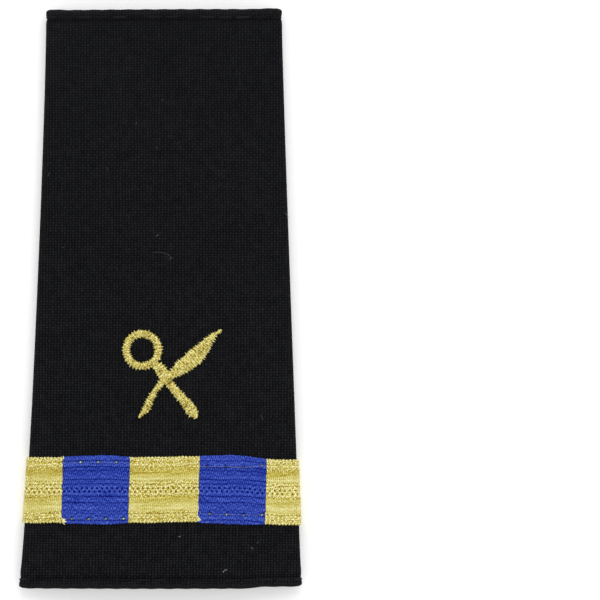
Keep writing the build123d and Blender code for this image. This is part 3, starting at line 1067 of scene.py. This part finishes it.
def makeLace(name, blue, seams):
    # One length of the lace: a fine grid between its two seams and its two edges, laid over the cloth and
    # raised by the weave, closed by level walls down to the cloth and by a plain underside. The edges are
    # scalloped by a cosine, and those of a blue length bow out by swell times (1 - x^2) to the power 0.8,
    # where x runs from -1 to 1 between its seams.
    middle = lace["low"] + lace["height"] / 2
    rowCount = int(lace["height"] / lace["rowStep"]) + 1
    t = np.linspace(0, 1, rowCount)[:, None]
    yRow = lace["low"] + lace["height"] * t
    edges = []
    for side, seam in zip((-1, 1), seams):
        if seam is None:  # turned round the fold, to stop under it
            at = tubeAt(yRow)
            stop = tubeAt(np.array(middle))["half"] - lace["turn"]
            angle = at["underAngle"] - np.arcsin((stop - at["flat"]) / at["underRadius"])
            edges.append(side * (at["runs"][0] + at["runs"][1] + at["underRadius"] * angle))
        else:
            lean = lace["slant"] * (t - 0.5)
            for form in lace["raggedSeam"]:
                lean = lean + wander(yRow, yRow * 0 + seam, form)
            edges.append(aroundAt(lace["shift"] + seam + lean - side * lace["seamGap"] / 2, yRow))
    left, right = edges
    columnCount = int(float(np.mean(right - left)) / lace["columnStep"]) + 1
    s = np.linspace(0, 1, columnCount)[None]
    a = left * (1 - s) + right * s
    x = onTube(a, yRow + 0 * a, 0 * a)[..., 0]
    swell = lace["swell"] * (1 - (2 * s - 1) ** 2) ** 0.8 if blue else 0 * s
    scallop = (blueLace if blue else goldLace)["scallop"] * np.cos(2 * np.pi * a / lace["edgePitch"])
    scallop = scallop + wander(a, a * 0, lace["edgeWander"])
    low = lace["low"] - swell - dropAt(x) - scallop
    high = lace["low"] + lace["height"] + swell - dropAt(x) + scallop
    y = low * (1 - t) + high * t
    level = y - lace["low"] + dropAt(x)
    height, shade = (blueWeave if blue else goldWeave)(a, x, level)
    inEdge = np.clip(np.minimum(y - low, high - y) / lace["edgeRound"], 0, 1)
    rounded = lace["edgeThin"] + (1 - lace["edgeThin"]) * np.sqrt(1 - (1 - inEdge) ** 2)
    proud = lace["gap"] + (lace["base"] + height) * rounded
    top = onTube(a, y, proud).reshape(-1, 3)
    lowLine = onTube(a[0], y[0], 0 * a[0] + lace["gap"])
    highLine = onTube(a[-1], y[-1], 0 * a[0] + lace["gap"])
    faces, row, column = gridFaces(rowCount, columnCount)
    topPlaces = np.stack([a, y], -1)[row, column].reshape(-1, 2)
    firstLow = len(top)
    firstHigh, lastRow = firstLow + columnCount, firstLow - columnCount
    n = np.arange(columnCount - 1)
    walls = [
        [firstLow + n, firstLow + n + 1, n + 1, n],
        [firstHigh + n + 1, firstHigh + n, lastRow + n, lastRow + n + 1],
        [firstLow + n, firstHigh + n, firstHigh + n + 1, firstLow + n + 1],
    ]
    walls = np.concatenate([np.stack(wall, -1) for wall in walls])
    firstColumn = np.arange(rowCount) * columnCount
    leftEnd = np.concatenate([[firstLow], firstColumn, [firstHigh]])
    rightEnd = leftEnd + columnCount - 1
    points = np.concatenate([top, lowLine, highLine])
    shades = np.concatenate([shade.ravel(), np.full(2 * columnCount, lace["wallFootPaintedShade"])])
    groups = [faces, walls, leftEnd[None], rightEnd[::-1][None]]
    places = [topPlaces] + [points[group.ravel()][:, :2] for group in groups[1:]]
    return makeMesh(name, points, groups, places, shades)


goldEdge, blueEdge = lace["goldHalf"], lace["goldHalf"] + lace["break"]
lengths = [
    {"name": "laceGoldLeft", "node": "lace_gold_left", "blue": False, "seams": (None, -blueEdge)},
    {"name": "laceBlueLeft", "node": "lace_blue_left", "blue": True, "seams": (-blueEdge, -goldEdge)},
    {"name": "laceGoldMiddle", "node": "lace_gold_middle", "blue": False, "seams": (-goldEdge, goldEdge)},
    {"name": "laceBlueRight", "node": "lace_blue_right", "blue": True, "seams": (goldEdge, blueEdge)},
    {"name": "laceGoldRight", "node": "lace_gold_right", "blue": False, "seams": (blueEdge, None)},
]
for entry in lengths:
    piece = makeLace(entry["name"], entry["blue"], entry["seams"])
    braid, slot = (blueBraid, "blue_lace") if entry["blue"] else (goldBraid, "gold_lace")
    finish(piece, braid, slot, entry["node"])
    print(entry["name"], "made", len(piece.data.polygons))

# Sewing thread along the lace: a thin pale run over the blue, a short bright loop at each needle place, and
# a few gold ends that stand out of the seams and lean on the blue
sewing = {
    "thread": 0.043,
    "points": 15,
    "rings": 7,  # of a loop or an end
    "shortest": 0.5,
    "level": 0.50,
    "dip": 0.10,
    "sag": 0.10,  # of the upper row
    "rowShade": {"upper": (0.38, 0.58), "lower": (0.26, 0.34)},  # over the left and over the right blue
    "shadeSpread": 0.3,
    "endPaintedShade": 0.2,
    "seed": 63,
    "loop": 0.175,
    "loopLength": 0.42,
    "loopTilt": 0.05,
    "loopThickness": {"least": 0.48, "overBlue": 0.17, "bright": 0.5},
    "loopLevel": {"gold": 0.48, "blue": 0.51},
    "olive": 0.46,  # top of the olive part of the ramp of amberLook, over the blue
    "amber": 0.54,  # foot of the amber part, over the gold
    "frayX": [-19.1, -19.0, -18.9, -18.9, -18.8, -18.9, 7.15, 7.2, 7.15, 7.2, 7.15, -18.6, -5.6],
    "frayT": [1.1, 0.9, 0.7, 0.5, 0.35, 0.8, 1.35, 1.1, 0.85, 0.65, 0.45, 12.3, 12.3],
    "frayLength": [1.3, 1.1, 1.1, 1.0, 0.7, 0.8, 1.25, 0.95, 0.75, 0.6, 0.4, 0.6, 0.5],
    "frayHeading": [-62, -48, -40, -70, -30, -20, -66, -62, -56, -50, -44, 80, 110],
    "fray": 0.14,
    "frayLevel": 0.52,
    "frayCurl": 0.12,
    "frayTurn": 15,
    "frayShade": (0.68, 0.2),
}


def onLace(x, t, proud):
    # A point over the lace at a height over the cloth, t up from the lower edge
    return onFront(x, lace["low"] + t - dropAt(x), proud)


def sewRuns():
    # From needle to needle over the blue: t = straight line minus sag times (1 - s^2), with ends that dip.
    # A run that a seam hides at one end is level.
    s = np.linspace(-1, 1, sewing["points"])
    spans = lace["shift"] + np.array([[-blueEdge, -goldEdge], [goldEdge, blueEdge]])
    runs, rowShades = [], []
    for row in ("upper", "lower"):
        x, y = np.array(needle[row + "X"]), np.array(needle[row + "Y"])
        sag = sewing["sag"] * (1 - s**2) * (row == "upper")
        for first in range(len(x) - 1):
            for (low, high), rowShade in zip(spans, sewing["rowShade"][row]):
                start, end = max(x[first], low), min(x[first + 1], high)
                if end - start > sewing["shortest"]:
                    px = start + (end - start) * (s + 1) / 2
                    t = np.interp(px, x, y)
                    if start > x[first]:
                        t = y[first + 1] + 0 * t
                    elif end < x[first + 1]:
                        t = y[first] + 0 * t
                    runs.append(onLace(px, t - sag, sewing["level"] - sewing["dip"] * s**6))
                    rowShades.append(rowShade)
    rng = np.random.default_rng(sewing["seed"])
    paths = np.array(runs)
    spread = sewing["shadeSpread"] * rng.uniform(-1, 1, paths.shape[:2])
    # Darker towards the ends, where the thread dives into the lace: painted shade
    shade = np.array(rowShades)[:, None] + spread - sewing["endPaintedShade"] * s[None] ** 6
    return paths, sewing["thread"] + 0 * shade, shade


def needleLoops():
    # A bead of thread at each needle place, thicker and lighter the brighter it shows: its half thickness
    # is loop times thick times (1 - s^2) to the power 0.6
    s = np.linspace(-0.97, 0.97, sewing["rings"])[None]
    x = np.array(needle["upperX"] + needle["lowerX"])[:, None]
    t = np.array(needle["upperY"] + needle["lowerY"])[:, None]
    shine = np.array(needle["upperShine"] + needle["lowerShine"])[:, None] + 0 * s
    out = np.abs(x - lace["shift"])
    overBlue = (out > goldEdge) & (out < blueEdge)
    level, thickness = sewing["loopLevel"], sewing["loopThickness"]
    proud = np.where(overBlue, level["blue"], level["gold"]) + 0 * s
    paths = onLace(x + 0.5 * sewing["loopLength"] * s, t + sewing["loopTilt"] * s, proud)
    thick = thickness["least"] + thickness["overBlue"] * overBlue + thickness["bright"] * shine
    olive, amber = sewing["olive"], sewing["amber"]
    shade = np.where(overBlue, olive * shine, amber + (1 - amber) * shine)
    return paths, sewing["loop"] * thick * (1 - s**2) ** 0.6, shade


def frayedEnds():
    # Short ends that thin out and curl down: height = frayLevel minus frayCurl times s^2
    s = np.linspace(0, 1, sewing["rings"])[None]
    x, t, length, heading = (
        np.array(sewing[key], float)[:, None] for key in ("frayX", "frayT", "frayLength", "frayHeading")
    )
    turn = np.radians(heading + sewing["frayTurn"] * s)
    px, pt = turned(x, t, length * s, 0, turn)
    paths = onLace(px, pt, sewing["frayLevel"] - sewing["frayCurl"] * s**2)
    base, tip = sewing["frayShade"]
    return paths, sewing["fray"] * (1 - 0.5 * s**2) + 0 * x, base + tip * s + 0 * x


for name, layer, sides, thread in (
    ("sewingThread", sewRuns(), 5, paleThread),
    ("needleLoops", needleLoops(), 7, amberThread),
    ("frayedEnds", frayedEnds(), 7, goldBraid),
):
    finish(makeThreads(name, [layer], sides), thread, "gold_lace")
print("sewing made")

# Embroidery: its crossing on the front, and the stitches
device = {
    "x": 1.2,
    "y": 40.3 - tube["length"] / 2,
    "rings": 9,
    "sides": 6,
    "rise": 0.44,
    "fall": 0.7,  # share of the rise that is lost at the edge of a stroke
    "crossing": 1.1,
    # depth of the painted shadow lines in the handle
    "shadowLineDepth": 1.2,
    "headingOver": 0.3,  # the heading of a stroke is taken over this much before and past a place
}
# The layers of stitches on a stroke: underlay along it, darker with painted shade where it lies under the
# cover, a close cover from edge to edge whose every second stitch is longer, and short stitches on top
underlay = {
    "points": 70, "endInset": 0.1, "inset": 0.34, "leastHalf": 0.02, "sink": 0.16, "cover": 1.2,
    "radius": (0.06, 0.2), "shade": 0.32, "spread": 0.2,
}
cover = {"spacing": 0.275, "inset": 0.08, "tooth": 0.20, "ragged": 0.09, "slant": 9, "radius": 0.15}
short = {
    "spacing": 0.17, "closeFrom": 1.7, "least": 0.35, "most": 0.8, "mostOfHalf": 1.6, "slant": 30,
    "radius": 0.13, "lift": 0.05,
}
# What each stitch has of its own, and its shade: that of the middle, the painted highlight that the edge
# adds, and what each stitch and each place on it adds or takes
stitch = {
    "leastHalf": 0.2, "deepest": -0.05, "lean": 4, "uneven": 0.015, "bow": 0.04, "thickness": 0.08,
    "thinnest": 0.8, "thickest": 1.2, "taper": 0.28, "endHeight": 0.3,
    "shade": 0.48, "edgePaintedLight": 0.36, "ownShade": 0.10, "placeShade": 0.22,
}
# Painted shadow lines in the handle: the heading of each in degrees, its place along and to the left of
# that heading from the crossing, its half length and its half thickness
shadowLines = [
    {"heading": 42.6, "along": 0.35, "side": -0.98, "long": 0.8, "wide": 0.20},
    {"heading": 44.0, "along": -1.1, "side": -6.45, "long": 0.5, "wide": 0.15},
]
# Strokes from the crossing: the heading of the axis in degrees, the way along it, the place of the middle
# to the left of it and the width. At the crossing the height is this share of what it is elsewhere.
rimTurn = np.linspace(0, 360, 61)
strokes = [
    {
        "name": "glassRim", "node": "glass_rim", "seed": 71, "rows": 5, "atCrossing": 1.0, "angle": 0,
        "along": -4.62 + 3.12 * np.sin(np.radians(rimTurn)),
        "side": 5.58 - 3.12 * np.cos(np.radians(rimTurn)),
        "width": 0 * rimTurn + 1.62,
    },
    {
        "name": "glassHandle", "node": "glass_handle", "seed": 72, "rows": 6, "atCrossing": 0.5,
        "angle": -53.5,
        "along": [-3.7, -3.2, -2.6, -1.5, -0.4, 1.0, 2.0, 3.0, 4.0, 5.0, 6.0, 7.0, 7.7, 8.4, 9.0, 9.4],
        "side": [
            -0.05, 0.0, 0.17, 0.14, 0.0, -0.06, 0.0, 0.03, 0.20, 0.28, 0.30, 0.30, 0.34, 0.33, 0.27, 0.15,
        ],
        "width": [
            1.5, 1.8, 2.3, 2.5, 2.1, 1.84, 1.76, 1.84, 1.84, 1.9, 2.25, 2.35, 2.5, 2.15, 1.5, 0.7,
        ],
    },
    {
        "name": "quillFeather", "node": "quill_feather", "seed": 73, "rows": 11, "atCrossing": 1.1,
        "angle": 42.6,
        "along": [
            0.6, 1.5, 2.5, 3.5, 5.0, 6.0, 7.0, 8.0, 9.0,
            10.0, 10.8, 12.0, 12.6, 13.0, 13.25, 13.5, 13.8, 14.1,
        ],
        "side": [
            -0.15, -0.15, -0.25, -0.36, -0.54, -0.57, -0.58, -0.53, -0.51,
            -0.32, -0.15, -0.12, 0.0, -0.05, -0.12, -0.18, -0.2, -0.2,
        ],
        "width": [
            1.5, 1.95, 2.45, 2.95, 3.22, 3.38, 3.46, 3.2, 2.85,
            2.5, 2.05, 1.65, 1.05, 0.55, 0.3, 0.74, 0.86, 0.5,
        ],
    },
    {
        "name": "quillStem", "node": "quill_stem", "seed": 74, "rows": 4, "atCrossing": 1.3,
        "angle": 234.7,
        "along": [-1.3, -0.4, 0.5, 1.5, 3.0, 4.0, 5.0, 6.0, 6.7, 7.1, 7.6, 8.1, 8.6, 9.1],
        "side": [0.12, 0.0, -0.25, -0.37, -0.43, -0.31, -0.22, 0.02, 0.15, 0.2, 0.14, 0.04, 0.0, 0.0],
        "width": [1.2, 1.35, 1.38, 1.36, 1.2, 1.35, 1.45, 1.5, 1.72, 1.7, 1.3, 0.92, 0.68, 0.3],
    },
]


def strokePath(stroke):
    # The turning points of a stroke's middle and how far along it each one is
    along, side = np.array(stroke["along"], float), np.array(stroke["side"], float)
    x, y = turned(0, 0, along, side, np.radians(stroke["angle"]))
    return x, y, np.concatenate([[0], np.cumsum(np.hypot(np.diff(x), np.diff(y)))])


def strokeAt(stroke, place):
    # Middle, heading and half width of a stroke at a run along it
    x, y, run = strokePath(stroke)
    before, past = place - device["headingOver"], place + device["headingOver"]
    forward, upward = (np.interp(past, run, line) - np.interp(before, run, line) for line in (x, y))
    half = np.interp(place, run, stroke["width"]) / 2
    return np.interp(place, run, x), np.interp(place, run, y), np.arctan2(upward, forward), half


def padding(stroke, x, y, share):
    # Height of the stitches over the cloth: rise times (1 - fall times |share of the half width| cubed),
    # which round the crossing goes over to the stroke's own share of that
    near = bump(np.hypot(x, y), 0, device["crossing"])
    height = device["rise"] * (1 - (1 - stroke["atCrossing"]) * near)
    return height * (1 - device["fall"] * np.clip(np.abs(share), 0, 1.1) ** 3)


def layUnderlay(stroke):
    # Long threads along the stroke that fill it between its edges, under the cover
    first, last = underlay["endInset"], strokePath(stroke)[2][-1] - underlay["endInset"]
    x, y, heading, half = strokeAt(stroke, np.linspace(first, last, underlay["points"])[None])
    share = np.linspace(-1, 1, stroke["rows"])[:, None]
    across = share * np.maximum(half - underlay["inset"], underlay["leastHalf"])
    px, py = turned(x, y, 0, across, heading)
    radii = np.clip(underlay["cover"] * half / stroke["rows"], *underlay["radius"]) + 0 * px
    height = np.maximum(padding(stroke, x, y, across / half) - underlay["sink"], 0.0)
    spread = underlay["spread"] * np.random.default_rng(stroke["seed"]).uniform(-1, 1, px.shape)
    return onFront(device["x"] + px, device["y"] + py, height), radii, underlay["shade"] + spread


def paintedShadowLines(x, y):
    # How much painted shadow darkens a place along the shadow lines: a flat bell along each line and a bell
    # across it
    dark = 0 * x
    for gap in shadowLines:
        run, off = turned(0, 0, x, y, -np.radians(gap["heading"]))
        flat = np.exp(-(((run - gap["along"]) / gap["long"]) ** 4))
        dark = dark + device["shadowLineDepth"] * flat * bump(off, gap["side"], gap["wide"])
    return dark


def layStitches(stroke, place, start, end, slant, radius, lift, rng):
    # Straight stitches across a stroke, from start to end to the left of its middle: an arch over the
    # padding, endHeight of it at the ends, and sideways a bow times (1 - fromMiddle squared)
    x, y, heading, half = (value[:, None] for value in strokeAt(stroke, place))
    half = np.maximum(half, stitch["leastHalf"])
    lean, uneven, curve, thick, tone = rng.normal(0, 1, (5, len(place), 1))
    turn = heading + np.pi / 2 + np.radians(slant[:, None] + stitch["lean"] * lean)
    s = np.linspace(0, 1, device["rings"])[None]
    fromMiddle = 2 * s - 1
    across = start[:, None] * (1 - s) + end[:, None] * s
    arch = stitch["endHeight"] + (1 - stitch["endHeight"]) * (1 - np.abs(fromMiddle) ** 6)
    height = padding(stroke, x, y, across / half) * arch + lift + stitch["uneven"] * uneven
    bow = stitch["bow"] * (1 - fromMiddle**2) * curve
    px, py = turned(x, y, across, bow, turn)
    radii = radius * (1 - stitch["taper"] * np.abs(fromMiddle) ** 8)
    radii = radii * np.clip(1 + stitch["thickness"] * thick, stitch["thinnest"], stitch["thickest"])
    # Painted highlight towards the edges of the stroke, where the stitch ends turn down away from the light
    edge = np.clip(np.abs(across) / half, 0, 1) ** 2
    shade = stitch["shade"] + stitch["edgePaintedLight"] * edge + stitch["ownShade"] * tone
    shade = shade + stitch["placeShade"] * rng.normal(0, 1, px.shape)
    # Painted shadow lines across the handle
    if stroke["name"] == "glassHandle":
        shade = shade - paintedShadowLines(px, py)
    paths = onFront(device["x"] + px, device["y"] + py, np.maximum(height, stitch["deepest"]))
    return paths, radii, np.clip(shade, 0, 1)


def layCover(stroke):
    # Close stitches from edge to edge, leaning by turns to either side, with ragged ends
    rng = np.random.default_rng(stroke["seed"] + 10)
    place = np.arange(cover["spacing"] / 2, strokePath(stroke)[2][-1], cover["spacing"])
    odd = np.arange(len(place)) % 2
    reach = strokeAt(stroke, place)[3] - cover["inset"] + cover["tooth"] * (odd - 0.5)
    reach = reach + cover["ragged"] * rng.normal(0, 1, (2, len(place)))
    slant = cover["slant"] * np.where(odd, 1.0, -1.0)
    return layStitches(stroke, place, -reach[0], reach[1], slant, cover["radius"], 0.0, rng)


def layShort(stroke):
    # Short stitches at random places across the stroke, at random slants, closer on a wide stroke
    rng = np.random.default_rng(stroke["seed"] + 20)
    spacing = short["spacing"] * min(1.0, short["closeFrom"] / np.max(stroke["width"]))
    place = np.arange(short["spacing"] / 2, strokePath(stroke)[2][-1], spacing)
    half = strokeAt(stroke, place)[3]
    length = np.minimum(rng.uniform(short["least"], short["most"], place.shape), short["mostOfHalf"] * half)
    start = rng.uniform(-1, 1, place.shape) * (half - length / 2) - length / 2
    slant = short["slant"] * rng.uniform(-1, 1, place.shape)
    return layStitches(stroke, place, start, start + length, slant, short["radius"], short["lift"], rng)


for stroke in strokes:
    layers = [layUnderlay(stroke), layCover(stroke), layShort(stroke)]
    piece = makeThreads(stroke["name"], layers, device["sides"])
    finish(piece, goldStitching, "gold_thread", stroke["node"])
    print(stroke["name"], "made", sum(len(layer[0]) for layer in layers), "threads")

# Floor, light and camera
stage = {
    "pixel": 0.1924,  # millimetres of the front in one pixel of the frame
    "frame": 600,
    "height": 1.60,
    "aimX": 26.92,
    "aimY": -0.27,
    "frontLevel": 6.0,
    "floor": 1.6,  # metres to each side
    "floorLines": 9,
    "floorDrop": 0.02,
    "floorColours": [(0.3, (0.94, 0.94, 0.94)), (0.7, (0.96, 0.96, 0.96))],
    "cloudScale": 0.02,
    "world": 0.90,
    "keyPlace": (0.10, 0.55, 0.80),
    "keySize": 0.6,
    "key": 2.6,
}


def makeFloor():
    # A level sheet under everything, on a coarse grid
    lines = stage["floorLines"]
    line = np.linspace(-stage["floor"], stage["floor"], lines) / mm
    x, y = np.meshgrid(line, line)
    points = np.stack([x, y, 0 * x - stage["floorDrop"]], -1).reshape(-1, 3)
    faces = gridFaces(lines, lines)[0]
    return makeMesh("floor", points, [faces], [points[faces.ravel()][:, :2]], 0.5 + 0 * points[:, 0])


floorFinish = {
    "Roughness": 0.9,
    "Specular IOR Level": 0.1,
    "Emission Color": (1.0, 1.0, 1.0, 1.0),
    "Emission Strength": 0.17,  # like a lit table, so that the contact shadow stays pale
}
floorLook, tree, shader = startMaterial("paleFloor", floorFinish)
clouds = noiseOn(tree, *placeParts(tree), stage["cloudScale"])
tree.links.new(makeRamp(tree, clouds, stage["floorColours"]), shader.inputs["Base Color"])
floor = makeFloor()
floor.data.materials.append(floorLook)

scene = bpy.context.scene
scene.view_settings.view_transform = "Standard"
world = bpy.data.worlds.new("studio")
scene.world = world
world.use_nodes = True
background = world.node_tree.nodes["Background"].inputs
background["Color"].default_value = (1.0, 1.0, 1.0, 1.0)
background["Strength"].default_value = stage["world"]


def addSoftLight(name, place, size, power):
    # A square light that faces the middle of the slide
    lamp = bpy.data.lights.new(name, "AREA")
    lamp.shape, lamp.size, lamp.energy = "SQUARE", size, power
    made = bpy.data.objects.new(name, lamp)
    made.location = place
    made.rotation_mode = "QUATERNION"
    made.rotation_quaternion = (-made.location).to_track_quat("-Z", "Y")
    scene.collection.objects.link(made)


addSoftLight("keyLight", stage["keyPlace"], stage["keySize"], stage["key"])

lens = bpy.data.cameras.new("camera")
lens.sensor_width = 36.0
wide = stage["pixel"] * stage["frame"] * mm
lens.lens = lens.sensor_width * (stage["height"] - stage["frontLevel"] * mm) / wide
lens.clip_start, lens.clip_end = 0.01, 20.0
camera = bpy.data.objects.new("camera", lens)
camera.location = (stage["aimX"] * mm, stage["aimY"] * mm, stage["height"])
scene.collection.objects.link(camera)
scene.camera = camera
print("floor, light and camera made")
